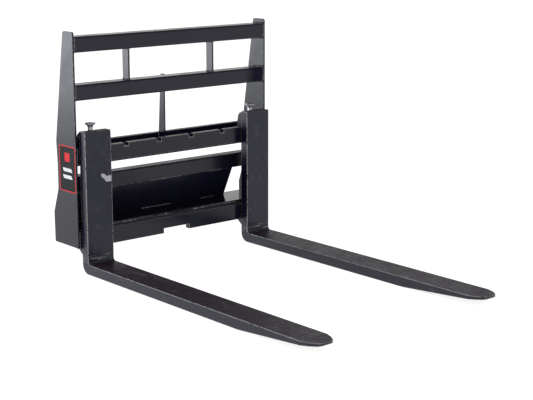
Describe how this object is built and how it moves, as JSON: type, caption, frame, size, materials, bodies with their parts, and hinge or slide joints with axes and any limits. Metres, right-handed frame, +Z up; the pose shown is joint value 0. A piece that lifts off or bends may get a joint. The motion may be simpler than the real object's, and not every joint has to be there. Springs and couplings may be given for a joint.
{
  "type": "pallet fork attachment",
  "caption": "Skid steer pallet fork attachment: a welded carriage with a load guard and quick-attach back, carrying sliding hook-on forks held by spring latches.",
  "frame": {"origin": "centre of the bounding box's bottom face, on the floor the forks rest on", "axes": "+X to the right seen from in front of the fork tips, +Y towards the loader with the fork tips at -Y, +Z up"},
  "size_m": [1.2192, 1.9218, 1.2],
  "materials": {
    "side_plate_paint": "semi-gloss black enamel on hot-rolled plate",
    "guard_paint": "semi-gloss black enamel on structural tube and flat bar",
    "rail_paint": "semi-gloss black enamel on flame-cut carriage bar",
    "quick_attach_paint": "semi-gloss black enamel on folded plate",
    "fork_paint": "semi-gloss black enamel on forged steel, scuffed on the blade",
    "hook_paint": "semi-gloss black enamel on forged steel",
    "latch_zinc": "bright zinc plate",
    "spring_steel": "oiled spring wire"
  },
  "bodies": {
    "frame": {"side_plate_left": "side_plate_paint", "side_plate_right": "side_plate_paint", "top_tube": "guard_paint", "mid_tube": "guard_paint", "guard_upright_left": "guard_paint", "guard_upright_right": "guard_paint", "centre_spine": "guard_paint", "upper_fork_rail": "rail_paint", "lower_fork_rail": "rail_paint", "rear_cross_bar": "rail_paint", "rail_rib_left": "rail_paint", "rail_rib_right": "rail_paint", "quick_attach_top_channel": "quick_attach_paint", "quick_attach_back_plate": "quick_attach_paint", "floor_plate": "quick_attach_paint"},
    "left_fork": {"fork_left": "fork_paint", "top_hook_left": "hook_paint", "bottom_hook_left": "hook_paint", "latch_bush_left": "latch_zinc"},
    "right_fork": {"fork_right": "fork_paint", "top_hook_right": "hook_paint", "bottom_hook_right": "hook_paint", "latch_bush_right": "latch_zinc"},
    "left_latch": {"latch_pin_left": "latch_zinc", "latch_knob_left": "latch_zinc", "latch_collar_left": "latch_zinc", "latch_spring_left": "spring_steel"},
    "right_latch": {"latch_pin_right": "latch_zinc", "latch_knob_right": "latch_zinc", "latch_collar_right": "latch_zinc", "latch_spring_right": "spring_steel"}
  },
  "joints": [
    {"name": "left_fork_slide", "type": "slide", "parent": "frame", "child": "left_fork", "axis": [1, 0, 0], "range_m": [0, 0.41]},
    {"name": "right_fork_slide", "type": "slide", "parent": "frame", "child": "right_fork", "axis": [-1, 0, 0], "range_m": [0, 0.41]},
    {"name": "left_latch_drop", "type": "slide", "parent": "left_fork", "child": "left_latch", "axis": [0, 0, -1], "range_m": [0, 0.019], "deforming": ["latch_spring_left"]},
    {"name": "right_latch_drop", "type": "slide", "parent": "right_fork", "child": "right_latch", "axis": [0, 0, -1], "range_m": [0, 0.019], "deforming": ["latch_spring_right"]}
  ]
}
